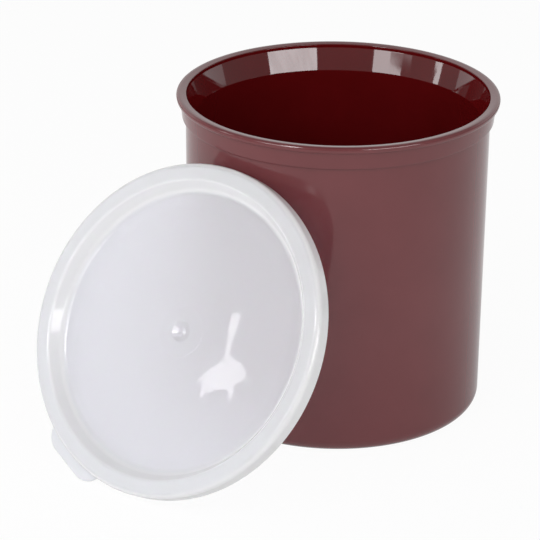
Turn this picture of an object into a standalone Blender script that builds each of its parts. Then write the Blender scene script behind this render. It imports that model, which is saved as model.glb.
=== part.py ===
"""Round food storage crock with its lid taken off and leaning against the wall.

Metres, +Z up. The origin is on the crock's axis, in the plane that the crock stands on.
The lid leans back against the crock's -Y side, with its top face towards -Y.
"""
import math

import bpy
import numpy as np
from mathutils import Vector

# Crock: rim and flange
RIM_RADIUS = 0.08325
CROCK_HEIGHT = 0.1684
FLANGE_THICKNESS = 0.0034
FLANGE_EDGE_ROUND = 0.0012
FLANGE_EDGE_TAPER = 0.0006
FLANGE_LOWER_ROUND = 0.0004
FLANGE_OVERHANG = 0.0016

# Crock: the thicker band under the flange and the step below it
BAND_DEPTH = 0.0121
BAND_TAPER = 0.0010
STEP_WIDTH = 0.0019
STEP_HEIGHT = 0.0005

# Crock: wall, heel and foot
WALL_THICKNESS = 0.0033
WALL_TAPER = 0.0014
HEEL_RADIUS = 0.0071
FLOOR_THICKNESS = 0.0032
FLOOR_FILLET = 0.0060
FOOT_RING_WIDTH = 0.0060
FOOT_RECESS = 0.0008
FOOT_RECESS_SLOPE = 0.0020

# Crock: mouth, and the flared band that the lid's panel sits in
MOUTH_RADIUS = 0.0779
MOUTH_ROUND = 0.0006
SEAT_DEPTH = 0.0132

# Lid: walls and the fit over the flange
LID_WALL = 0.0011
SKIRT_WALL = 0.0008
SKIRT_CLEARANCE = 0.0002
SEAT_CLEARANCE = 0.0003
LID_HEIGHT = 0.0090
LID_EDGE_ROUND = 0.0030
SKIRT_LIP_ROUND = 0.0003
SNAP_RIDGE = 0.0004
SNAP_CLEARANCE = 0.0002

# Lid: crest, sunk panel and gate mark
CREST_WIDTH = 0.0045
CREST_ROUND = 0.0020
RECESS_DEPTH = 0.0075
RECESS_FILLET = 0.0060
RECESS_DRAFT = math.radians(35)
GATE_RADIUS = 0.0016
GATE_HEIGHT = 0.0005

# Lid: pull tab
TAB_HALF_WIDTH = 0.0200
TAB_REACH = 0.0061
TAB_CORNER = 0.0104
TAB_THICKNESS = 0.0012
TAB_RAISE = 0.0025
TAB_EDGE_ROUND = 0.0003
TAB_TURN = math.radians(27)

# How the lid leans
LEAN = math.radians(29.6)
LID_SIDE_SHIFT = -0.0056
TOUCH_GAP = 0.0003
FLOOR_GAP = 0.0002

TURN_STEPS = 72
ROUND_STEPS = 4
CLEARANCE_TURNS = 721
MERGE_DISTANCE = 0.00001

# Sizes that follow from those above
band_top_radius = RIM_RADIUS - FLANGE_EDGE_TAPER - FLANGE_OVERHANG
band_low_radius = band_top_radius - BAND_TAPER
wall_top_radius = band_low_radius - STEP_WIDTH
wall_low_radius = wall_top_radius - WALL_TAPER
flange_underside = CROCK_HEIGHT - FLANGE_THICKNESS
foot_radius = wall_low_radius - HEEL_RADIUS
lid_radius = RIM_RADIUS + SKIRT_CLEARANCE + SKIRT_WALL
tab_reach_radius = lid_radius + TAB_REACH


def arc(centre, radius, start, end, steps=ROUND_STEPS):
    """Points of an arc in the profile's plane, from angle start to angle end in degrees."""
    angles = [math.radians(start + (end - start) * i / steps) for i in range(steps + 1)]
    return [(centre[0] + radius * math.cos(a), centre[1] + radius * math.sin(a)) for a in angles]


def crock_outside():
    """The crock's outer side, from the flange's top edge down to the foot."""
    points = arc((RIM_RADIUS - FLANGE_EDGE_ROUND, CROCK_HEIGHT - FLANGE_EDGE_ROUND), FLANGE_EDGE_ROUND, 90, 0)
    flange_low = RIM_RADIUS - FLANGE_EDGE_TAPER
    points += arc((flange_low - FLANGE_LOWER_ROUND, flange_underside + FLANGE_LOWER_ROUND),
                  FLANGE_LOWER_ROUND, 0, -90, steps=2)
    points.append((band_top_radius, flange_underside))
    points.append((band_low_radius, CROCK_HEIGHT - BAND_DEPTH))
    points.append((wall_top_radius, CROCK_HEIGHT - BAND_DEPTH - STEP_HEIGHT))
    points += arc((foot_radius, HEEL_RADIUS), HEEL_RADIUS, 0, -90, steps=6)
    return points


def crock_inside():
    """The crock's inner side, from the middle of its floor up to the mouth."""
    floor = FOOT_RECESS + FLOOR_THICKNESS
    inner_low = wall_low_radius - WALL_THICKNESS
    inner_top = wall_top_radius - WALL_THICKNESS
    points = [(0, floor)]
    points += arc((inner_low - FLOOR_FILLET, floor + FLOOR_FILLET), FLOOR_FILLET, -90, 0)
    points.append((inner_top, CROCK_HEIGHT - SEAT_DEPTH))
    points += arc((MOUTH_RADIUS + MOUTH_ROUND, CROCK_HEIGHT - MOUTH_ROUND), MOUTH_ROUND, 180, 90)
    return points


def crock_underside():
    """The recess inside the ring that the crock stands on."""
    ring_inside = foot_radius - FOOT_RING_WIDTH
    return [(ring_inside, 0), (ring_inside - FOOT_RECESS_SLOPE, FOOT_RECESS), (0, FOOT_RECESS)]


def recess_wall(offset):
    """The recess's S-shaped wall, moved by offset towards the underside, from the panel up to the crest."""
    slope = math.degrees(RECESS_DRAFT)
    outward = Vector((math.cos(RECESS_DRAFT), -math.sin(RECESS_DRAFT)))
    upward = Vector((math.sin(RECESS_DRAFT), math.cos(RECESS_DRAFT)))
    crest_centre = Vector((lid_radius - LID_EDGE_ROUND - CREST_WIDTH, LID_HEIGHT - CREST_ROUND))
    crest_foot = crest_centre - CREST_ROUND * outward
    panel_centre_height = LID_HEIGHT - RECESS_DEPTH + RECESS_FILLET
    fillet_foot_height = panel_centre_height - RECESS_FILLET * math.sin(RECESS_DRAFT)
    run = (crest_foot.y - fillet_foot_height) / upward.y
    fillet_centre = crest_foot - run * upward - RECESS_FILLET * outward
    points = arc(fillet_centre, RECESS_FILLET + offset, -90, -slope)
    points += arc(crest_centre, CREST_ROUND - offset, 180 - slope, 90)
    return points


def lid_profile():
    """Half the lid's section: its top side from the axis out, the skirt, then its underside back."""
    panel = LID_HEIGHT - RECESS_DEPTH
    points = [(0, panel + GATE_HEIGHT)]
    points += arc((GATE_RADIUS, panel + GATE_HEIGHT), GATE_HEIGHT, 90, 0, steps=2)
    points.append((GATE_RADIUS + GATE_HEIGHT, panel))
    points += recess_wall(0)
    edge = lid_radius - LID_EDGE_ROUND
    points += arc((edge, LID_HEIGHT - LID_EDGE_ROUND), LID_EDGE_ROUND, 90, 0, steps=5)
    points += arc((lid_radius - SKIRT_LIP_ROUND, SKIRT_LIP_ROUND), SKIRT_LIP_ROUND, 0, -90, steps=2)
    skirt_inside = lid_radius - SKIRT_WALL
    points.append((skirt_inside, 0))
    ridge = LID_HEIGHT - LID_WALL - SEAT_CLEARANCE - FLANGE_THICKNESS - SNAP_CLEARANCE - SNAP_RIDGE
    points += arc((skirt_inside, ridge), SNAP_RIDGE, 270, 90, steps=4)
    points += arc((edge, LID_HEIGHT - LID_EDGE_ROUND), LID_EDGE_ROUND - LID_WALL, 0, 90)
    points += reversed(recess_wall(LID_WALL))
    points.append((0, panel - LID_WALL))
    return points


def tab_outline():
    """The pull tab seen from above the lid, with the tab pointing along -Y before it is turned."""
    root_radius = lid_radius - SKIRT_WALL / 2
    corner = Vector((TAB_HALF_WIDTH - TAB_CORNER, TAB_CORNER - tab_reach_radius))
    meeting = (root_radius ** 2 - corner.length_squared - TAB_CORNER ** 2) / (2 * corner.length * TAB_CORNER)
    root_angle = math.degrees(math.atan2(corner.y, corner.x) + math.acos(meeting))
    right_side = arc(corner, TAB_CORNER, -90, root_angle, steps=8)
    left_side = [(-x, y) for x, y in reversed(right_side)]
    half_turn = math.degrees(math.atan2(right_side[-1][0], -right_side[-1][1]))
    root = arc((0, 0), root_radius, -90 + half_turn, -90 - half_turn, steps=12)
    return root[1:-1] + left_side + right_side


def tab_low():
    """How far the turned tab reaches below the lid's centre, measured along the lid."""
    corner = Vector((TAB_HALF_WIDTH - TAB_CORNER, TAB_CORNER - tab_reach_radius))
    return TAB_CORNER + math.sin(TAB_TURN) * corner.x - math.cos(TAB_TURN) * corner.y


def lid_outline(spacing):
    """Radius and height of points along the lid's whole section, no further apart than spacing."""
    corners = np.array(lid_profile())
    travel = np.concatenate([[0], np.cumsum(np.hypot(*np.diff(corners, axis=0).T))])
    stops = np.linspace(0, travel[-1], int(travel[-1] / spacing))
    return np.interp(stops, travel, corners[:, 0]), np.interp(stops, travel, corners[:, 1])


def lid_clearance(centre, lid_points, crock_heights, crock_radii):
    """Least level distance from the lid, centred there and leaning, to the crock's outside."""
    radii, heights = lid_points
    turn = np.linspace(0, 2 * math.pi, CLEARANCE_TURNS)[:, None]
    across, along = radii * np.sin(turn), radii * np.cos(turn)
    x = centre.x + across
    y = centre.y + along * math.sin(LEAN) - heights * math.cos(LEAN)
    z = centre.z + along * math.cos(LEAN) + heights * math.sin(LEAN)
    wall = np.interp(z, crock_heights, crock_radii, right=0)
    return float((np.hypot(x, y) - wall).min())


def lid_centre():
    """Where the lid's open side is centred: on the floor, and against the crock's wall."""
    skirt_drop = lid_radius * math.cos(LEAN)
    tab_drop = tab_low() * math.cos(LEAN) - TAB_RAISE * math.sin(LEAN)
    height = max(skirt_drop, tab_drop) + FLOOR_GAP
    outline = sorted((z, r) for r, z in crock_outside())
    crock_heights, crock_radii = zip(*outline)
    lid_points = lid_outline(SKIRT_LIP_ROUND)
    near, far = 0, RIM_RADIUS + 2 * lid_radius
    while far - near > MERGE_DISTANCE / 10:
        middle = (near + far) / 2
        centre = Vector((LID_SIDE_SHIFT, -middle, height))
        if lid_clearance(centre, lid_points, crock_heights, crock_radii) < TOUCH_GAP:
            near = middle
        else:
            far = middle
    return Vector((LID_SIDE_SHIFT, -far, height))


def new_collection(name):
    collection = bpy.data.collections.new(name)
    bpy.context.scene.collection.children.link(collection)
    return collection


def plastic(name, colour, roughness, transmission=0.0):
    material = bpy.data.materials.new(name)
    material.use_nodes = True
    shader = material.node_tree.nodes["Principled BSDF"]
    shader.inputs["Base Color"].default_value = (*colour, 1)
    shader.inputs["Roughness"].default_value = roughness
    shader.inputs["Metallic"].default_value = 0
    shader.inputs["Transmission Weight"].default_value = transmission
    material.diffuse_color = (*colour, 1)
    return material


def turned(name, profile, material, collection):
    """A body of revolution about its own Z, from a profile that ends on the axis twice."""
    mesh = bpy.data.meshes.new(name)
    vertices = [(r, 0, z) for r, z in profile]
    mesh.from_pydata(vertices, [(i, i + 1) for i in range(len(vertices) - 1)], [])
    mesh.materials.append(material)
    piece = bpy.data.objects.new(name, mesh)
    collection.objects.link(piece)
    screw = piece.modifiers.new("turn", "SCREW")
    screw.axis = "Z"
    screw.steps = TURN_STEPS
    screw.render_steps = TURN_STEPS
    screw.use_merge_vertices = True
    screw.merge_threshold = MERGE_DISTANCE
    screw.use_smooth_shade = True
    return piece


def tab_blank(material, collection):
    """The pull tab as a flat plate whose root is buried in the skirt's wall."""
    curve = bpy.data.curves.new("pull_tab_outline", "CURVE")
    curve.dimensions = "2D"
    curve.fill_mode = "BOTH"
    curve.extrude = TAB_THICKNESS / 2
    spline = curve.splines.new("POLY")
    points = tab_outline()
    spline.points.add(len(points) - 1)
    for point, (x, y) in zip(spline.points, points):
        point.co = (x, y, 0, 1)
    spline.use_cyclic_u = True
    outline = bpy.data.objects.new("pull_tab_outline", curve)
    collection.objects.link(outline)
    bpy.context.view_layer.update()
    evaluated = outline.evaluated_get(bpy.context.evaluated_depsgraph_get())
    mesh = bpy.data.meshes.new_from_object(evaluated)
    bpy.data.objects.remove(outline)
    mesh.materials.append(material)
    tab = bpy.data.objects.new("pull_tab_blank", mesh)
    collection.objects.link(tab)
    weld = tab.modifiers.new("weld", "WELD")
    weld.merge_threshold = MERGE_DISTANCE
    bevel = tab.modifiers.new("edge", "BEVEL")
    bevel.width = TAB_EDGE_ROUND
    bevel.segments = 1
    bevel.limit_method = "ANGLE"
    tab.location = (0, 0, TAB_RAISE + TAB_THICKNESS / 2)
    tab.rotation_euler = (0, 0, -TAB_TURN)
    tab.hide_render = True
    tab.display_type = "WIRE"
    return tab


def make_crock(collection):
    material = plastic("maroon_moulded_plastic", (0.080, 0.022, 0.024), 0.30)
    profile = crock_inside() + crock_outside() + crock_underside()
    return turned("crock", profile, material, collection)


def make_lid(collection, cutters):
    material = plastic("translucent_polyethylene", (0.72, 0.73, 0.76), 0.35, transmission=0.25)
    lid = turned("lid", lid_profile(), material, collection)
    lid.location = lid_centre()
    lid.rotation_euler = (math.pi / 2 - LEAN, 0, 0)
    tab = tab_blank(material, cutters)
    tab.parent = lid
    joined = lid.modifiers.new("pull tab", "BOOLEAN")
    joined.operation = "UNION"
    joined.solver = "EXACT"
    joined.object = tab
    return lid


def main():
    for leftover in list(bpy.data.objects):
        bpy.data.objects.remove(leftover)
    parts = new_collection("food_storage_crock")
    cutters = new_collection("joined_blanks")
    make_crock(parts)
    lid = make_lid(parts, cutters)
    print("lid centre", [round(value, 6) for value in lid.location])
    print("lid radius", round(lid_radius, 6), "tab reaches down", round(tab_low(), 6))


main()
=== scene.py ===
# %% [markdown]
# A round food crock with its press-fit lid, as a kitchen keeps dressings, soups and cut fruit in.
# The crock is one thick moulding in a maroon plastic. Its mouth was polished in the mould, and its
# outside has a softer shine. The lid is one thin moulding in milky natural polyethylene. It has been
# taken off and leans against the crock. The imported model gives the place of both, so it comes first.

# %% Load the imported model
import math

import bmesh
import bpy
from mathutils import Matrix, Vector


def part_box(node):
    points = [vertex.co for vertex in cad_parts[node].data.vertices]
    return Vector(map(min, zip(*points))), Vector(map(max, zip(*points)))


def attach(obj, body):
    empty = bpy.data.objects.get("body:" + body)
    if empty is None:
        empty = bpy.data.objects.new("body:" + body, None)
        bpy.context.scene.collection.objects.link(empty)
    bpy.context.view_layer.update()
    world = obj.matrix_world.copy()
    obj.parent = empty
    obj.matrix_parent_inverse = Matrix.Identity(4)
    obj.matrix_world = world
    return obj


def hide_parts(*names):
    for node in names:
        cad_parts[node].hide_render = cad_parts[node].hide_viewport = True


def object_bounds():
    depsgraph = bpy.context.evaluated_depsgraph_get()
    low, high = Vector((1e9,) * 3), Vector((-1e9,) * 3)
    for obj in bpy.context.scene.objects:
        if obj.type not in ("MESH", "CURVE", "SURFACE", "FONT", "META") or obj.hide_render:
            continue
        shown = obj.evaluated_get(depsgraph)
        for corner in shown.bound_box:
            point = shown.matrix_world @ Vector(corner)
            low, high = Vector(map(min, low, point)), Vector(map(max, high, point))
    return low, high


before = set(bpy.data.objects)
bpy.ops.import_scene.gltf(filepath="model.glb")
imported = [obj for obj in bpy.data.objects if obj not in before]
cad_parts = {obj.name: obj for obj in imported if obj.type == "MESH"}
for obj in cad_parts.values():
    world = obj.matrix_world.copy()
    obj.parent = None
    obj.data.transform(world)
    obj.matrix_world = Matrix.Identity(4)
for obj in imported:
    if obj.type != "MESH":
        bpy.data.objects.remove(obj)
model_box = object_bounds()
scene = bpy.context.scene
crock_low, crock_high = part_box("crock")
lid_low, lid_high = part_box("lid")
print("crock", [round(v * 1000, 1) for v in crock_high - crock_low], "mm")
print("lid", [round(v * 1000, 1) for v in lid_high - lid_low], "mm")

# %% [markdown]
# The camera comes before the pieces, because every comparison with the photograph needs it. A long
# lens from about a metre and a half away keeps the crock's sides almost parallel, as the photograph
# does. The camera looks down on the mouth by 23 degrees and stands 36 degrees to the right of the
# way that the lid faces.

# %% Camera
CAMERA_PLACE = (0.85830, -1.18111, 0.68180)
CAMERA_TURN = (67.2258, -0.5324, 37.5659)
CAMERA_LENS = 201.11

camera_data = bpy.data.cameras.new("product_camera")
camera_data.lens = CAMERA_LENS
camera = bpy.data.objects.new("product_camera", camera_data)
camera.location = CAMERA_PLACE
camera.rotation_euler = [math.radians(angle) for angle in CAMERA_TURN]
scene.collection.objects.link(camera)
scene.camera = camera
print("camera distance", round(Vector(CAMERA_PLACE).length, 3), "m")

# %% [markdown]
# Colours are read off the object as sRGB hex values, the way an image editor shows them, but shaders
# work with linear light. One function turns the first into the second. A second small function adds
# a shader node with its settings and its links, so that each material below reads as a short recipe.
# Two more write down the spans of a Map Range node and start a new material.

# %% Colour and node helpers
def linear(hex_colour):
    """An sRGB hex colour as the linear red, green, blue and alpha that a shader wants."""
    channels = [int(hex_colour[i:i + 2], 16) / 255 for i in (1, 3, 5)]
    return [c / 12.92 if c <= 0.04045 else ((c + 0.055) / 1.055) ** 2.4 for c in channels] + [1.0]


def add_node(tree, kind, settings=None, links=None):
    """Add a node. Settings name its sockets or its properties, and links name sockets to feed."""
    node = tree.nodes.new(kind)
    for name, value in (settings or {}).items():
        if isinstance(name, int) or name in node.inputs:
            node.inputs[name].default_value = value
        else:
            setattr(node, name, value)
    for socket, source in (links or {}).items():
        tree.links.new(source, node.inputs[socket])
    return node


def spans(starts, ends):
    """The settings with which a Map Range node carries one span of values over to another."""
    return {"From Min": starts[0], "From Max": starts[1], "To Min": ends[0], "To Max": ends[1]}


def new_material(name):
    """A material whose node tree holds only its Principled shader and its output."""
    material = bpy.data.materials.new(name)
    material.use_nodes = True
    return material, material.node_tree, material.node_tree.nodes["Principled BSDF"]


print("middle grey in linear light", round(linear("#808080")[0], 3))

# %% [markdown]
# Both pieces are round, so each is half a section turned about its axis. The section could be a long
# list of points, but a moulding is really a few straight walls with rounded corners. So a section
# here lists its corners and their roundings. Bevelling a corner of the bare line puts a true arc
# there. A straight wall then gets a point close to each of its ends, which holds the wall's shading
# flat right up to the arc. A full spin with its seam merged makes the shell.

# %% Helpers that turn a rounded section and finish a piece
TURN_STEPS = 288
SMALLEST_EDGE = 0.000001
HOLD_MARGIN = 0.00025
SHARP_ANGLE = math.radians(40)


def turned(corners):
    """Turn a half section about Z. A corner is its radius, its height, its rounding and its segments."""
    shell = bmesh.new()
    points = [shell.verts.new((radius, 0, height)) for radius, height, _, _ in corners]
    for start, end in zip(points, points[1:]):
        shell.edges.new((start, end))
    places = [point.co.copy() for point in points]
    for i in range(1, len(corners) - 1):
        rounding, segments = corners[i][2:]
        if not rounding:
            continue
        half_angle = (places[i - 1] - places[i]).angle(places[i + 1] - places[i]) / 2
        bmesh.ops.bevel(shell, geom=[points[i]], affect="VERTICES", offset=rounding / math.tan(half_angle),
                        offset_type="OFFSET", segments=segments, profile=0.5, material=-1)
    for edge in [edge for edge in shell.edges if edge.calc_length() > 3 * HOLD_MARGIN]:
        length = edge.calc_length()
        bmesh.utils.edge_split(edge, edge.verts[0], HOLD_MARGIN / length)
        bmesh.utils.edge_split(edge, edge.verts[0], 1 - HOLD_MARGIN / (length - HOLD_MARGIN))
    section = list(shell.verts) + list(shell.edges)
    bmesh.ops.spin(shell, geom=section, cent=(0, 0, 0), axis=(0, 0, 1), angle=2 * math.pi,
                   steps=TURN_STEPS, use_merge=True)
    bmesh.ops.remove_doubles(shell, verts=shell.verts, dist=SMALLEST_EDGE)
    bmesh.ops.recalc_face_normals(shell, faces=shell.faces)
    return shell


def smooth_but_for_edges(mesh):
    """Shade a mesh smooth and keep its real edges sharp."""
    mesh.shade_smooth()
    mesh.set_sharp_from_angle(angle=SHARP_ANGLE)


def finished_piece(name, shell, materials, body):
    """Turn a bmesh into an object with its materials, riding on a body."""
    mesh = bpy.data.meshes.new(name)
    shell.to_mesh(mesh)
    shell.free()
    for material in materials:
        mesh.materials.append(material)
    smooth_but_for_edges(mesh)
    piece = bpy.data.objects.new(name, mesh)
    scene.collection.objects.link(piece)
    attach(piece, body)
    return piece


print("a step of a turned shell is", 360 / TURN_STEPS, "degrees")

# %% [markdown]
# The crock's outside is a satin moulding. Its plastic takes a soft mirror of the bright worktop,
# which lays a pale veil over the maroon and grows towards the sides, where the eye meets the wall at
# a slant. A polycarbonate with some roughness does that by itself. A moulded wall is never quite
# even: waves of about a centimetre and a few thousandths of a millimetre make the reflections drift.

# %% Satin maroon plastic for the outside
POLYCARBONATE_IOR = 1.58
WAVE_DETAIL = 2.0
PATCH_DETAIL = 3.0
PATCH_SPREAD = (0.3, 0.7)
SHADE_PATCH_MM = 22
SHINE_PATCH_MM = 9


def add_waves(tree, shader, size_mm, depth_mm, detail=WAVE_DETAIL):
    """Let a surface swell and dip by waves of a real size and depth, both in millimetres."""
    place = add_node(tree, "ShaderNodeTexCoord")
    waves = add_node(tree, "ShaderNodeTexNoise", {"Scale": 1000 / size_mm, "Detail": detail},
                     {"Vector": place.outputs["Object"]})
    bump = add_node(tree, "ShaderNodeBump", {"Distance": depth_mm / 1000}, {"Height": waves.outputs["Fac"]})
    tree.links.new(bump.outputs["Normal"], shader.inputs["Normal"])
    return place


def patchy(tree, place, size_mm, low, high):
    """A value that drifts between low and high over patches of a real size in millimetres."""
    patches = add_node(tree, "ShaderNodeTexNoise", {"Scale": 1000 / size_mm, "Detail": PATCH_DETAIL},
                       {"Vector": place.outputs["Object"]})
    spread = add_node(tree, "ShaderNodeMapRange", spans(PATCH_SPREAD, (low, high)),
                      {"Value": patches.outputs["Fac"]})
    return spread.outputs["Result"]


def maroon_plastic(name, colours, roughness, waves):
    """Opaque moulded polycarbonate: a deep maroon body under a clear, hard shine."""
    material, tree, shader = new_material(name)
    shader.inputs["IOR"].default_value = POLYCARBONATE_IOR
    place = add_waves(tree, shader, *waves)
    shade = patchy(tree, place, SHADE_PATCH_MM, 0.0, 1.0)
    body = add_node(tree, "ShaderNodeMix", {"data_type": "RGBA"}, {"Factor": shade})
    body.inputs["A"].default_value = linear(colours[0])
    body.inputs["B"].default_value = linear(colours[1])
    tree.links.new(body.outputs["Result"], shader.inputs["Base Color"])
    tree.links.new(patchy(tree, place, SHINE_PATCH_MM, *roughness), shader.inputs["Roughness"])
    return material


satin_maroon = maroon_plastic("satin_moulded_polycarbonate", colours=("#682f32", "#6c3235"),
                              roughness=(0.09, 0.12), waves=(9.0, 0.004))
print("made", satin_maroon.name)

# %% [markdown]
# The inside comes off a polished core of the same mould, so it mirrors windows with crisp outlines.
# Its body colour is set darker and redder than the outside's, which is painted shade for the deep
# inside. Its waves are longer, as a thick wall draws in while it cools, and they bend the windows'
# edges a little.

# %% Polished maroon plastic for the inside, with painted shade
# Painted shade: these body colours are darker and redder than the outside's, for the deep inside.
polished_maroon_painted_shade = maroon_plastic("polished_polycarbonate_painted_shade", colours=("#5a0b0d", "#5f0c0f"),
                                 roughness=(0.03, 0.05), waves=(30, 0.03))
print("made", polished_maroon_painted_shade.name)

# %% [markdown]
# The crock is a tapered wall on a round heel. Near the top it steps out to a thicker band, and above
# that a thin flange runs round the mouth, for the lid to snap over. Inside, the top of the wall
# flares into a shallow seat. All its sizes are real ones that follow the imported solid, and its
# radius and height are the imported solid's own.

# %% Crock sizes in metres
RIM_RADIUS = crock_high.x
CROCK_HEIGHT = crock_high.z
FLANGE_THICKNESS = 0.0034
FLANGE_EDGE_TAPER = 0.0006
FLANGE_OVERHANG = 0.0016
FLANGE_LOW_ROUND = 0.0011
BAND_DEPTH = 0.0121
BAND_TAPER = 0.0010
BAND_ROUND = 0.0003
STEP_WIDTH = 0.0019
STEP_HEIGHT = 0.0005
STEP_ROUND = 0.0008
WALL_THICKNESS = 0.0033
WALL_TAPER = 0.0014
HEEL_RADIUS = 0.0071
FLOOR_THICKNESS = 0.0032
FLOOR_FILLET = 0.0060
FOOT_RING_WIDTH = 0.0060
FOOT_RING_ROUND = 0.0004
FOOT_RECESS = 0.0008
FOOT_RECESS_SLOPE = 0.0020
FOOT_RECESS_ROUND = 0.0008
MOUTH_CORNER_RADIUS = 0.0779
MOUTH_ROUND = 0.0004
MOUTH_LAND = 0.0018
MOUTH_LAND_TILT = math.radians(6)
MOUTH_LAND_ROUND = 0.0003
SEAT_RADIUS = 0.0735
SEAT_DEPTH = 0.0136
SEAT_ROUND = 0.0010
LIP_CREST_RADIUS = 0.0812
LIP_CROWN = 0.0040
LIP_FALL_INSIDE = 0.00045
LIP_FALL_OUTSIDE = 0.0004
LIP_EDGE_ROUND = 0.0016

band_top = RIM_RADIUS - FLANGE_EDGE_TAPER - FLANGE_OVERHANG
band_low = band_top - BAND_TAPER
wall_top = band_low - STEP_WIDTH
wall_low = wall_top - WALL_TAPER
print("wall tapers from", round(wall_top * 2000, 1), "to", round(wall_low * 2000, 1), "mm across")

# %% [markdown]
# The section runs from the middle of the floor up the inside, over the lip and down the outside to
# the foot. The real lip isn't quite flat. A slight crown on it spreads the light of the room, where
# a flat one would flash all at once. Faces that look inwards, and the floor, get the polished
# plastic, whose darker body colour is painted shade, and the rest gets the satin one.

# %% Crock shell
INWARD = -0.3
UPWARD = 0.5


def crock_section():
    """Corners of the crock's half section, from the middle of its floor up, over and down to its foot."""
    floor = FOOT_RECESS + FLOOR_THICKNESS
    flange_low = CROCK_HEIGHT - FLANGE_THICKNESS
    mouth_top = CROCK_HEIGHT - LIP_FALL_INSIDE
    land_foot = MOUTH_CORNER_RADIUS - MOUTH_LAND * math.tan(MOUTH_LAND_TILT)
    step_top = CROCK_HEIGHT - BAND_DEPTH
    ring_inside = wall_low - HEEL_RADIUS - FOOT_RING_WIDTH
    return [
        (0, floor, 0, 0),
        (wall_low - WALL_THICKNESS, floor, FLOOR_FILLET, 12),
        (SEAT_RADIUS, CROCK_HEIGHT - SEAT_DEPTH, SEAT_ROUND, 4),
        (land_foot, mouth_top - MOUTH_LAND, MOUTH_LAND_ROUND, 3),
        (MOUTH_CORNER_RADIUS, mouth_top, MOUTH_ROUND, 8),
        (LIP_CREST_RADIUS, CROCK_HEIGHT, LIP_CROWN, 8),
        (RIM_RADIUS, CROCK_HEIGHT - LIP_FALL_OUTSIDE, LIP_EDGE_ROUND, 12),
        (RIM_RADIUS - FLANGE_EDGE_TAPER, flange_low, FLANGE_LOW_ROUND, 8),
        (band_top, flange_low, BAND_ROUND, 3),
        (band_low, step_top, BAND_ROUND, 3),
        (wall_top, step_top - STEP_HEIGHT, STEP_ROUND, 4),
        (wall_low, 0, HEEL_RADIUS, 16),
        (ring_inside, 0, FOOT_RING_ROUND, 3),
        (ring_inside - FOOT_RECESS_SLOPE, FOOT_RECESS, FOOT_RECESS_ROUND, 3),
        (0, FOOT_RECESS, 0, 0),
    ]


shell = turned(crock_section())
# Inward faces and the floor take the polished plastic, whose darker colour is painted shade.
for face in shell.faces:
    middle = face.calc_center_median()
    outward = face.normal.dot(Vector((middle.x, middle.y, 0)).normalized())
    on_floor = face.normal.z > UPWARD and middle.z < CROCK_HEIGHT / 2
    face.material_index = 1 if outward < INWARD or on_floor else 0
crock = finished_piece("crock_shell", shell, [satin_maroon, polished_maroon_painted_shade], "crock")
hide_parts("crock")
print("crock shell", len(crock.data.polygons), "faces")

# %% [markdown]
# The lid's plastic is natural low-density polyethylene, which is milky because its crystals scatter
# light. Light goes in, spreads for about a millimetre and comes out again, also on the far side. So
# it gets subsurface scattering, with some plain transmission for the dark crock behind it, and a
# thin glossy skin. Three versions of the one plastic follow the wall. The panel is thin and lets most
# through, the crest and the tab look thicker and whiter, and the steep walls, which the eye looks
# through at a slant, hide nearly all that lies behind them.

# %% Milky polyethylene for the lid
POLYETHYLENE_IOR = 1.51
POLYETHYLENE_ROUGHNESS = 0.58
SCATTER_BALANCE = (1.0, 0.95, 1.0)
SKIN_WEIGHT = 0.8
SKIN_IOR = 1.50
LID_WAVES = (26, 0.015)
LID_WAVE_DETAIL = 1.0


def milky_polyethylene(name, colour, see_through, scatter_depth, skin_roughness):
    """Natural low-density polyethylene: cloudy, with a blurred view through it and a wet-looking skin."""
    material, tree, shader = new_material(name)
    shader.subsurface_method = "RANDOM_WALK"
    finish = {"Base Color": linear(colour), "Subsurface Weight": 1.0, "Subsurface Radius": SCATTER_BALANCE,
              "Subsurface Scale": scatter_depth, "IOR": POLYETHYLENE_IOR, "Roughness": POLYETHYLENE_ROUGHNESS,
              "Transmission Weight": see_through, "Coat Weight": SKIN_WEIGHT,
              "Coat Roughness": skin_roughness, "Coat IOR": SKIN_IOR}
    for socket, value in finish.items():
        shader.inputs[socket].default_value = value
    add_waves(tree, shader, *LID_WAVES, LID_WAVE_DETAIL)
    return material


thin_panel = milky_polyethylene("natural_ldpe_panel", "#f4f4ff", see_through=0.59, scatter_depth=0.0006,
                                skin_roughness=0.012)
thick_rim = milky_polyethylene("natural_ldpe_rim", "#f3f4ff", see_through=0.38, scatter_depth=0.0014,
                               skin_roughness=0.03)
steep_wall = milky_polyethylene("natural_ldpe_steep_wall", "#f5f5ff", see_through=0.14, scatter_depth=0.0008,
                                skin_roughness=0.09)
lid_plastics = [thin_panel, thick_rim, steep_wall]
print("made", [plastic.name for plastic in lid_plastics])

# %% [markdown]
# The lid is a shallow dish turned over: a flat crest that sits on the flange, a skirt that snaps over
# it, and a panel sunk between sloped walls. The panel curls up a little at its edge before the wall
# starts, which is where it catches a bright line. In its middle a small dish holds the pip where the
# melt came into the mould, with two faint witness rings round it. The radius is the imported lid's own,
# and the rest of the sizes follow the photograph.

# %% Lid sizes in metres
LID_RADIUS = (lid_high.x - lid_low.x) / 2
LID_WALL = 0.0011
SKIRT_WALL = 0.0008
LID_HEIGHT = 0.0090
LID_EDGE_ROUND = 0.0030
CREST_WIDTH = 0.0045
CREST_ROUND = 0.0020
RECESS_DEPTH = 0.0075
RECESS_FILLET = 0.0052
RECESS_DRAFT = math.radians(31)
TOE_RADIUS = 0.0640
TOE_RISE = 0.0006
TOE_ROUND = 0.0300
DIMPLE_RADIUS = 0.0052
DIMPLE_FLOOR_RADIUS = 0.0022
DIMPLE_DEPTH = 0.0011
DIMPLE_ROUND = 0.0008
PIP_RADIUS = 0.0006
PIP_HEIGHT = 0.0006
PIP_ROUND = 0.0015
RING_RADII = (0.0061, 0.0129)
RING_WIDTH = 0.0012
RING_HEIGHT = 0.00013
SNAP_RIDGE = 0.0004
SNAP_RIDGE_ROUND = 0.0003
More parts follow.
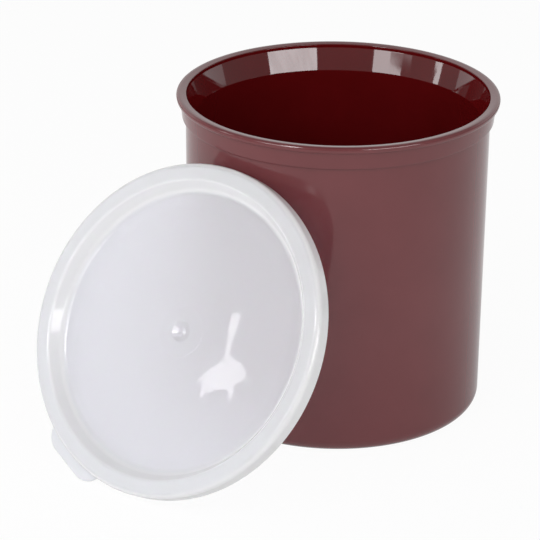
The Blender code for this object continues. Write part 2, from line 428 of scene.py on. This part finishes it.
GAP_OVER_FLANGE = 0.0003
GAP_UNDER_FLANGE = 0.0002
HEM_ROUND_OUTSIDE = 0.0003
HEM_ROUND_INSIDE = 0.0002
LEAN = math.radians(29.6)
LID_CENTRE = Vector((-0.0056, -0.119761, 0.073737))

panel = LID_HEIGHT - RECESS_DEPTH
crest_inside = LID_RADIUS - LID_EDGE_ROUND - CREST_WIDTH
recess_top = crest_inside - CREST_ROUND * math.tan((math.pi / 2 - RECESS_DRAFT) / 2)
recess_foot = recess_top - RECESS_DEPTH * math.tan(RECESS_DRAFT)
print("panel is flat out to about", round(recess_foot * 1000, 1), "mm from its middle")

# %% [markdown]
# The lid is turned lying flat, like the crock: its top from the axis out, the skirt, and its underside
# back to the axis, a wall's thickness below the top. A face's place and slope then choose its
# version of the plastic: the panel's, the steep walls' or the rim's.

# %% Lid shell
STEEP = math.cos(math.radians(30))


def witness_ring(radius):
    """Three corners that raise a faint ring on the panel."""
    return [(radius - RING_WIDTH / 2, panel, 0, 0), (radius, panel + RING_HEIGHT, 0, 0),
            (radius + RING_WIDTH / 2, panel, 0, 0)]


def lid_section():
    """Corners of the lid's half section: its top from the axis out, the skirt, and its underside back."""
    under = LID_WALL / math.cos(RECESS_DRAFT) - LID_WALL * math.tan(RECESS_DRAFT)
    dimple_floor = panel - DIMPLE_DEPTH
    skirt_inside = LID_RADIUS - SKIRT_WALL
    crest_underside = LID_HEIGHT - LID_WALL
    ridge = crest_underside - GAP_OVER_FLANGE - FLANGE_THICKNESS - GAP_UNDER_FLANGE - SNAP_RIDGE
    return [
        (0, dimple_floor + PIP_HEIGHT, 0, 0),
        (PIP_RADIUS, dimple_floor + PIP_HEIGHT, PIP_ROUND, 4),
        (DIMPLE_FLOOR_RADIUS, dimple_floor, DIMPLE_ROUND, 4),
        (DIMPLE_RADIUS, panel, DIMPLE_ROUND, 4),
        *witness_ring(RING_RADII[0]),
        *witness_ring(RING_RADII[1]),
        (TOE_RADIUS, panel, TOE_ROUND, 6),
        (recess_foot, panel + TOE_RISE, RECESS_FILLET, 14),
        (recess_top, LID_HEIGHT, CREST_ROUND, 8),
        (LID_RADIUS, LID_HEIGHT, LID_EDGE_ROUND, 12),
        (LID_RADIUS, 0, HEM_ROUND_OUTSIDE, 3),
        (skirt_inside, 0, HEM_ROUND_INSIDE, 2),
        (skirt_inside, ridge - SNAP_RIDGE, 0, 0),
        (skirt_inside - SNAP_RIDGE, ridge, SNAP_RIDGE_ROUND, 3),
        (skirt_inside, ridge + SNAP_RIDGE, 0, 0),
        (skirt_inside, crest_underside, LID_EDGE_ROUND - LID_WALL, 6),
        (recess_top + under, crest_underside, CREST_ROUND - LID_WALL, 5),
        (recess_foot + under, panel - LID_WALL, RECESS_FILLET + LID_WALL, 14),
        (DIMPLE_RADIUS + LID_WALL / 2, panel - LID_WALL, 0, 0),
        (DIMPLE_FLOOR_RADIUS + LID_WALL / 2, dimple_floor - LID_WALL, 0, 0),
        (0, dimple_floor - LID_WALL, 0, 0),
    ]


lid_mesh = turned(lid_section())
for face in lid_mesh.faces:
    if face.calc_center_median().xy.length > recess_foot - RECESS_FILLET / 4:
        face.material_index = 2 if abs(face.normal.z) < STEEP else 1
print("lid shell", len(lid_mesh.faces), "faces")

# %% [markdown]
# The pull tab is a small flat plate that grows out of the skirt, with two well rounded corners. Each
# side is one arc that starts inside the skirt's wall. One arc is spun and mirrored, a third arc inside
# the wall joins the two, and a straight edge closes the loop. The loop is filled, the plate is given
# its thickness, and its edges are eased. It carries the rim's version of the plastic.

# %% Pull tab
TAB_HALF_WIDTH = 0.0200
TAB_REACH = 0.0061
TAB_CORNER = 0.0104
TAB_THICKNESS = 0.0012
TAB_EASE = 0.0003
TAB_RAISE = 0.0025
TAB_TURN = math.radians(27)
CORNER_STEPS = 20
ROOT_STEPS = 24
RIM_OF_PLATE = math.radians(60)

root_radius = LID_RADIUS - SKIRT_WALL / 2
corner = Vector((TAB_HALF_WIDTH - TAB_CORNER, TAB_CORNER - LID_RADIUS - TAB_REACH, TAB_RAISE))
to_corner = corner.xy.length
meeting = (root_radius ** 2 - to_corner ** 2 - TAB_CORNER ** 2) / (2 * to_corner * TAB_CORNER)
arc_angle = math.pi / 2 + math.atan2(corner.y, corner.x) + math.acos(meeting)
tab = bmesh.new()
foot = tab.verts.new(corner - Vector((0, TAB_CORNER, 0)))
bmesh.ops.spin(tab, geom=[foot], cent=corner, axis=(0, 0, 1), angle=arc_angle, steps=CORNER_STEPS)
root = max(tab.verts, key=lambda vertex: vertex.co.y)
bmesh.ops.mirror(tab, geom=list(tab.verts) + list(tab.edges), axis="X")
half_turn = math.atan2(root.co.x, -root.co.y)
bmesh.ops.spin(tab, geom=[root], cent=(0, 0, 0), axis=(0, 0, 1), angle=-2 * half_turn, steps=ROOT_STEPS)
bmesh.ops.remove_doubles(tab, verts=tab.verts, dist=SMALLEST_EDGE)
feet = sorted(tab.verts, key=lambda vertex: vertex.co.y)[:2]
tab.edges.new(feet)
bmesh.ops.edgeloop_fill(tab, edges=tab.edges)
grown = bmesh.ops.extrude_face_region(tab, geom=list(tab.faces), use_keep_orig=True)
lifted = [item for item in grown["geom"] if isinstance(item, bmesh.types.BMVert)]
bmesh.ops.translate(tab, verts=lifted, vec=(0, 0, TAB_THICKNESS))
bmesh.ops.recalc_face_normals(tab, faces=tab.faces)
outer_edges = [edge for edge in tab.edges if edge.calc_face_angle(0) > RIM_OF_PLATE]
bmesh.ops.bevel(tab, geom=outer_edges, affect="EDGES", offset=TAB_EASE, offset_type="OFFSET", segments=3,
                profile=0.5, material=-1)
bmesh.ops.rotate(tab, verts=tab.verts, cent=(0, 0, 0), matrix=Matrix.Rotation(-TAB_TURN, 3, "Z"))
for face in tab.faces:
    face.material_index = 1
print("tab", len(tab.faces), "faces")

# %% [markdown]
# The real lid and its tab left the mould as one piece, so the two closed shells are joined by a
# Boolean union, and the helper object goes. The lid is then leaned back and moved to its place in the
# mesh itself, so that the object stays at the origin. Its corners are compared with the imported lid's.

# %% Join the tab and lean the lid
lid = finished_piece("lid_moulding", lid_mesh, lid_plastics, "lid")
tab_piece = finished_piece("pull_tab", tab, lid_plastics, "lid")
union = lid.modifiers.new("pull tab", "BOOLEAN")
union.operation = "UNION"
union.solver = "EXACT"
union.object = tab_piece
bpy.context.view_layer.update()
joined = bpy.data.meshes.new_from_object(lid.evaluated_get(bpy.context.evaluated_depsgraph_get()))
lid.modifiers.clear()
lid.data = joined
bpy.data.objects.remove(tab_piece)
joined.transform(Matrix.Translation(LID_CENTRE) @ Matrix.Rotation(math.pi / 2 - LEAN, 4, "X"))
smooth_but_for_edges(joined)
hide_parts("lid")
for place, pick, packed in (("low", min, lid_low), ("high", max, lid_high)):
    lid_corner = Vector([pick(vertex.co[axis] for vertex in joined.vertices) for axis in range(3)])
    miss_mm = (lid_corner - packed).length * 1000
    print("lid's", place, "corner is", round(miss_mm, 2), "mm from the packed lid's")

# %% [markdown]
# The floor is a plain white sheet. The camera sees it as nearly plain white, with enough of real
# white paper left in it that the shadow stays. It also gives back a little even light of its own, as
# the sheet in a bright room does, which keeps the lid's walls from going dark low down. A shiny wall
# mirrors it a little less bright, and dimmer past the table's edge. Close to the crock, mirrors see it
# dimmer still, which is a painted shadow round the crock's foot.

# %% White floor
FLOOR_SIZE = 12.0
FLOOR_DROP = 0.0001
FLOOR_GLOW_SHARE = 0.95
FLOOR_OWN_LIGHT = 0.22
FLOOR_IN_MIRRORS = 0.79
FAR_FLOOR_IN_MIRRORS = 0.2
TABLE_EDGE = (0.80, 1.00)
PAINTED_SHADE_NEAR_CROCK = (0.09, 0.22)
PAINTED_SHADE_AT_CROCK = 0.80

white_sheet, tree, shader = new_material("white_paper_sweep")
shader.inputs["Base Color"].default_value = linear("#f8f8f8")
shader.inputs["Roughness"].default_value = 0.9
shader.inputs["Specular IOR Level"].default_value = 0.0
path = add_node(tree, "ShaderNodeLightPath")
seen = add_node(tree, "ShaderNodeMath", {"operation": "ADD", "use_clamp": True},
                {0: path.outputs["Is Camera Ray"], 1: path.outputs["Is Transmission Ray"]})
plain = add_node(tree, "ShaderNodeMapRange", spans((0, 1), (FLOOR_OWN_LIGHT, FLOOR_GLOW_SHARE)),
                 {"Value": seen.outputs["Value"]})
share = add_node(tree, "ShaderNodeMath", {"operation": "ADD", "use_clamp": True},
                 {0: plain.outputs["Result"], 1: path.outputs["Is Glossy Ray"]})
place = add_node(tree, "ShaderNodeTexCoord")
far = add_node(tree, "ShaderNodeVectorMath", {"operation": "LENGTH"}, {0: place.outputs["Object"]})
table = add_node(tree, "ShaderNodeMapRange", spans(TABLE_EDGE, (FLOOR_IN_MIRRORS, FAR_FLOOR_IN_MIRRORS)),
                 {"Value": far.outputs["Value"]})
# Painted shadow: mirrors see the floor dim to 0.8 of its level close to the crock.
near = add_node(tree, "ShaderNodeMapRange", spans(PAINTED_SHADE_NEAR_CROCK, (PAINTED_SHADE_AT_CROCK, 1.0)),
                {"Value": far.outputs["Value"]})
sheet_seen = add_node(tree, "ShaderNodeMath", {"operation": "MULTIPLY"},
                      {0: table.outputs["Result"], 1: near.outputs["Result"]})
strength = add_node(tree, "ShaderNodeMapRange", {"To Min": 1.0},
                    {"Value": path.outputs["Is Glossy Ray"], "To Max": sheet_seen.outputs["Value"]})
glow = add_node(tree, "ShaderNodeEmission", {"Color": (1, 1, 1, 1)}, {"Strength": strength.outputs["Result"]})
blend = add_node(tree, "ShaderNodeMixShader", None,
                 {0: share.outputs["Value"], 1: shader.outputs["BSDF"], 2: glow.outputs["Emission"]})
tree.links.new(blend.outputs["Shader"], tree.nodes["Material Output"].inputs["Surface"])

sheet = bmesh.new()
bmesh.ops.create_grid(sheet, x_segments=1, y_segments=1, size=FLOOR_SIZE / 2)
sheet_mesh = bpy.data.meshes.new("floor")
sheet.to_mesh(sheet_mesh)
sheet.free()
sheet_mesh.materials.append(white_sheet)
floor = bpy.data.objects.new("floor", sheet_mesh)
floor.location.z = min(0.0, model_box[0][2]) - FLOOR_DROP
scene.collection.objects.link(floor)
print("floor at", round(floor.location.z * 1000, 2), "mm")

# %% [markdown]
# The room is bright all round, so the world is white to the camera. To what it lights it is plain, and
# brighter near the horizon than overhead, so that the crock's inside darkens with depth. A soft patch
# straight overhead still reaches the bottom. A mirror sees more of the room: a white backdrop low
# behind the crock, a dim room elsewhere, a little lighter at the left, and a dark ceiling. The
# backdrop makes the lip pale, and the dimness keeps the polished inside deep and red.

# %% Bright room
WORLD_AT_HORIZON = 0.80
WORLD_OVERHEAD = 0.10
ROOM_IN_MIRRORS = 0.40
ROOM_LEFT_EXTRA = 0.12
ROOM_LEFT_AIM = (-72, 10)
ROOM_LEFT_SPREAD = (0.75, 0.97)
BACKDROP_IN_MIRRORS = 0.95
BACKDROP_SIDES = (0.30, 0.55)
BACKDROP_TOP = (0.48, 0.60)
CEILING_EDGE = (0.90, 0.96)
CEILING_LIGHT = 0.40
CEILING_IN_MIRRORS = 0.12

to_camera = math.atan2(CAMERA_PLACE[1], CAMERA_PLACE[0])


def room_direction(side_angle, elevation):
    """The way to a place in the room. Its side angle is to the right of the camera, in degrees."""
    turn = to_camera + math.radians(side_angle)
    rise = math.radians(elevation)
    return Vector((math.cos(turn) * math.cos(rise), math.sin(turn) * math.cos(rise), math.sin(rise)))


world = bpy.data.worlds.new("bright_room")
world.use_nodes = True
scene.world = world
tree = world.node_tree
background = tree.nodes["Background"]
background.inputs["Color"].default_value = (1, 1, 1, 1)
path = add_node(tree, "ShaderNodeLightPath")
direction = add_node(tree, "ShaderNodeTexCoord")
parts = add_node(tree, "ShaderNodeSeparateXYZ", None, {"Vector": direction.outputs["Generated"]})
behind = add_node(tree, "ShaderNodeVectorMath", {"operation": "DOT_PRODUCT", 1: room_direction(180, 0)},
                  {0: direction.outputs["Generated"]})
left = add_node(tree, "ShaderNodeVectorMath", {"operation": "DOT_PRODUCT", 1: room_direction(*ROOM_LEFT_AIM)},
                {0: direction.outputs["Generated"]})
low_enough = add_node(tree, "ShaderNodeMapRange", spans(BACKDROP_TOP, (1, 0)), {"Value": parts.outputs["Z"]})
behind_enough = add_node(tree, "ShaderNodeMapRange", spans(BACKDROP_SIDES, (0, 1)),
                         {"Value": behind.outputs["Value"]})
backdrop = add_node(tree, "ShaderNodeMath", {"operation": "MULTIPLY"},
                    {0: low_enough.outputs["Result"], 1: behind_enough.outputs["Result"]})
room = add_node(tree, "ShaderNodeMapRange",
                spans(ROOM_LEFT_SPREAD, (ROOM_IN_MIRRORS, ROOM_IN_MIRRORS + ROOM_LEFT_EXTRA)),
                {"Value": left.outputs["Value"]})
mirrored = add_node(tree, "ShaderNodeMix", {"data_type": "FLOAT", "B": BACKDROP_IN_MIRRORS},
                    {"Factor": backdrop.outputs["Value"], "A": room.outputs["Result"]})
lighting = add_node(tree, "ShaderNodeMapRange", spans((0, 1), (WORLD_AT_HORIZON, WORLD_OVERHEAD)),
                    {"Value": parts.outputs["Z"]})
overhead = add_node(tree, "ShaderNodeMapRange", spans(CEILING_EDGE, (0, 1)), {"Value": parts.outputs["Z"]})
light_given = add_node(tree, "ShaderNodeMix", {"data_type": "FLOAT", "B": CEILING_LIGHT},
                       {"Factor": overhead.outputs["Result"], "A": lighting.outputs["Result"]})
mirror_view = add_node(tree, "ShaderNodeMix", {"data_type": "FLOAT", "B": CEILING_IN_MIRRORS},
                       {"Factor": overhead.outputs["Result"], "A": mirrored.outputs["Result"]})
seen = add_node(tree, "ShaderNodeMath", {"operation": "ADD", "use_clamp": True},
                {0: path.outputs["Is Camera Ray"], 1: path.outputs["Is Transmission Ray"]})
plain = add_node(tree, "ShaderNodeMapRange", {"To Max": 1.0},
                 {"Value": seen.outputs["Value"], "To Min": light_given.outputs["Result"]})
level = add_node(tree, "ShaderNodeMix", {"data_type": "FLOAT"},
                 {"Factor": path.outputs["Is Glossy Ray"], "A": plain.outputs["Result"],
                  "B": mirror_view.outputs["Result"]})
tree.links.new(level.outputs["Result"], background.inputs["Strength"])
print("world", world.name, "with", len(tree.nodes), "nodes")

# %% [markdown]
# Four soft boxes give the light its direction: two in front, at the left and the right of the camera,
# and one low at each side, which light the walls near the table. They stay out of the mirrors,
# because their square outlines would show there. What mirrors show is set up on its own after them.

# %% Soft boxes
MOUTH_CENTRE = Vector((0, 0, CROCK_HEIGHT))


def soft_box(name, side_angle, elevation, distance, width, height, radiance):
    """A soft box aimed at the mouth, which mirrors don't see."""
    lamp = bpy.data.lights.new(name, "AREA")
    lamp.shape = "RECTANGLE"
    lamp.size = width
    lamp.size_y = height
    lamp.energy = radiance * math.pi * width * height
    box = bpy.data.objects.new(name, lamp)
    aim = room_direction(side_angle, elevation)
    box.location = MOUTH_CENTRE + distance * aim
    box.rotation_euler = aim.to_track_quat("Z", "Y").to_euler()
    box.visible_glossy = False
    scene.collection.objects.link(box)
    print(name, "gives", round(lamp.energy, 2), "W")


soft_box("left_soft_box", -30, 34, 1.5, 1.2, 1.0, 2.3)
soft_box("right_soft_box", 22, 26, 1.5, 1.0, 0.8, 1.5)
soft_box("side_soft_box", -88, -4, 0.65, 0.5, 0.5, 1.8)
soft_box("far_side_soft_box", 75, 2, 0.65, 0.5, 0.5, 0.3)

# %% [markdown]
# The polished mouth and the glossy lid mirror bright things in the room: a tall window with blinds to
# the right of the camera, a second window with a bright sky to its left, and a few dimmer shapes at
# the sides. Each is a glowing sheet on a circle round the table, seen by mirrors only. The corners of
# a sheet are given as the angle round the table, to the right of the camera, and the height in
# millimetres. Real windows could light the scene too, but then a change to a reflection would change
# the light.

# %% Windows that only mirrors see
FAR = 2.0
NEAR = 0.55
GLOW_COLOUR = (1, 0.99, 1, 1)
SLAT_SQUEEZE = (0.02, 0.02, 1.0)
SLAT_DETAIL = 4.0
SLAT_SPREAD = (0.35, 0.65)


def only_in_mirrors(name, sheet, glow_material):
    """Close a bmesh into a staged object that camera and lighting don't see, only mirrors."""
    bmesh.ops.triangulate(sheet, faces=sheet.faces)
    mesh = bpy.data.meshes.new(name)
    sheet.to_mesh(mesh)
    sheet.free()
    mesh.materials.append(glow_material)
    window = bpy.data.objects.new(name, mesh)
    window.visible_camera = False
    window.visible_diffuse = False
    window.visible_shadow = False
    window.visible_transmission = False
    scene.collection.objects.link(window)
    return window


def glowing(name, radiance, slats_mm=0.0, slat_share=0.0):
    """A plain glow. Level slats of a real height in millimetres dim it in stripes, if asked for."""
    material, tree, _ = new_material(name)
    glow = add_node(tree, "ShaderNodeEmission", {"Color": GLOW_COLOUR, "Strength": radiance})
    if slats_mm:
        place = add_node(tree, "ShaderNodeTexCoord")
        squeeze = add_node(tree, "ShaderNodeMapping", {"Scale": SLAT_SQUEEZE},
                           {"Vector": place.outputs["Object"]})
        slats = add_node(tree, "ShaderNodeTexNoise", {"Scale": 1000 / slats_mm, "Detail": SLAT_DETAIL},
                         {"Vector": squeeze.outputs["Vector"]})
        dimmed = add_node(tree, "ShaderNodeMapRange",
                          spans(SLAT_SPREAD, (radiance * (1 - slat_share), radiance)),
                          {"Value": slats.outputs["Fac"]})
        tree.links.new(dimmed.outputs["Result"], glow.inputs["Strength"])
    tree.links.new(glow.outputs["Emission"], tree.nodes["Material Output"].inputs["Surface"])
    return material


def glowing_sheet(name, distance, corners, *look):
    """A glowing sheet that stands round the table, from its corners' side angles and heights in mm."""
    sheet = bmesh.new()
    places = []
    for side_angle, height in corners:
        foot = room_direction(side_angle, 0) * distance
        places.append(sheet.verts.new((foot.x, foot.y, height / 1000)))
    sheet.faces.new(places)
    only_in_mirrors(name, sheet, glowing(name + "_glow", *look))
    print(name, "has", len(corners), "corners")


glowing_sheet("blind_window", FAR, [(58.7, 600), (57.6, 1100), (17.6, 1100), (18.9, 600)], 9.8, 7.0, 0.35)
glowing_sheet("left_window", FAR, [(-27.1, 1900), (-28.5, 600), (-41.8, 600), (-42.0, 1900)], 6.6)
glowing_sheet("left_window_sky", FAR * 0.99, [(-27.1, 1900), (-27.8, 1350), (-40, 1350), (-40, 1900)], 20.0)
glowing_sheet("left_window_foot", FAR, [(-41.8, 902), (-41.8, 600), (-52.4, 600), (-52.4, 839)], 6.6)
glowing_sheet("left_window_edge", FAR, [(-42.0, 1900), (-41.8, 902), (-59.8, 807), (-62.1, 1900)], 2.4)
glowing_sheet("narrow_window", FAR, [(-79.4, 730), (-81.4, 650), (-84.8, 616), (-82.9, 626), (-83.8, 560),
                                     (-88.5, 540), (-85.7, 604), (-88.2, 585), (-85.8, 700)], 6.5)
glowing_sheet("side_shape", NEAR, [(-107.0, 290), (-126.4, 235), (-129.3, 176), (-111.9, 224)], 1.45)
glowing_sheet("side_sliver", NEAR, [(-136.0, 190), (-139.3, 180), (-161.2, 79), (-152.8, 106)], 0.9)
glowing_sheet("far_side_shape", NEAR, [(123.6, 235), (103.6, 300), (106.9, 238), (129.6, 175)], 1.25)
glowing_sheet("far_side_sliver", NEAR, [(158.2, 110), (145.5, 160), (139.4, 180), (143.3, 138)], 0.8)
glowing_sheet("lamp_shelf", FAR, [(-91, 850), (-80.5, 850), (-80.5, 1300), (-91, 1300)], 4.0)

# %% [markdown]
# The lid's flat panel seems to mirror one lamp with a stem and a wide shade, which the photograph
# shows as a white blot on the milky plastic. A glowing sheet in the blot's outline, with its corners
# in millimetres, stands where the panel mirrors it to the camera, and faces the lid.

# %% Lamp that the lid's panel mirrors
LAMP_PLACE = Vector((-0.8177, -1.2074, 0.6723))
LAMP_GLOW = 6.5
LAMP_OUTLINE = [(-23, 40), (-16, 45), (-11, 33), (-8, 18), (0, 4), (13, 5), (22, 0), (24, -9), (19, -16),
                (26, -30), (22, -31), (17, -24), (10, -29), (0, -40), (1, -46), (-4, -43), (-5, -33),
                (-13, -33), (-10, -17), (-3, -4), (-9, 10), (-19, 27)]

sheet = bmesh.new()
sheet.faces.new([sheet.verts.new((x / 1000, y / 1000, 0)) for x, y in LAMP_OUTLINE])
lamp = only_in_mirrors("mirrored_lamp", sheet, glowing("lamp_glow", LAMP_GLOW))
lamp.location = LAMP_PLACE
lamp.rotation_euler = (LAMP_PLACE - LID_CENTRE).to_track_quat("Z", "Y").to_euler()
print("lamp", round((LAMP_PLACE - LID_CENTRE).length, 2), "m from the lid")

# %% [markdown]
# Standard keeps the colours as they were matched, without a film look over them. The size of the
# imported model, measured before any piece was added, is printed at the end.

# %% View settings and the size of the imported model
scene.view_settings.view_transform = "Standard"
print("model", [[round(v * 1000, 2) for v in corner] for corner in model_box])
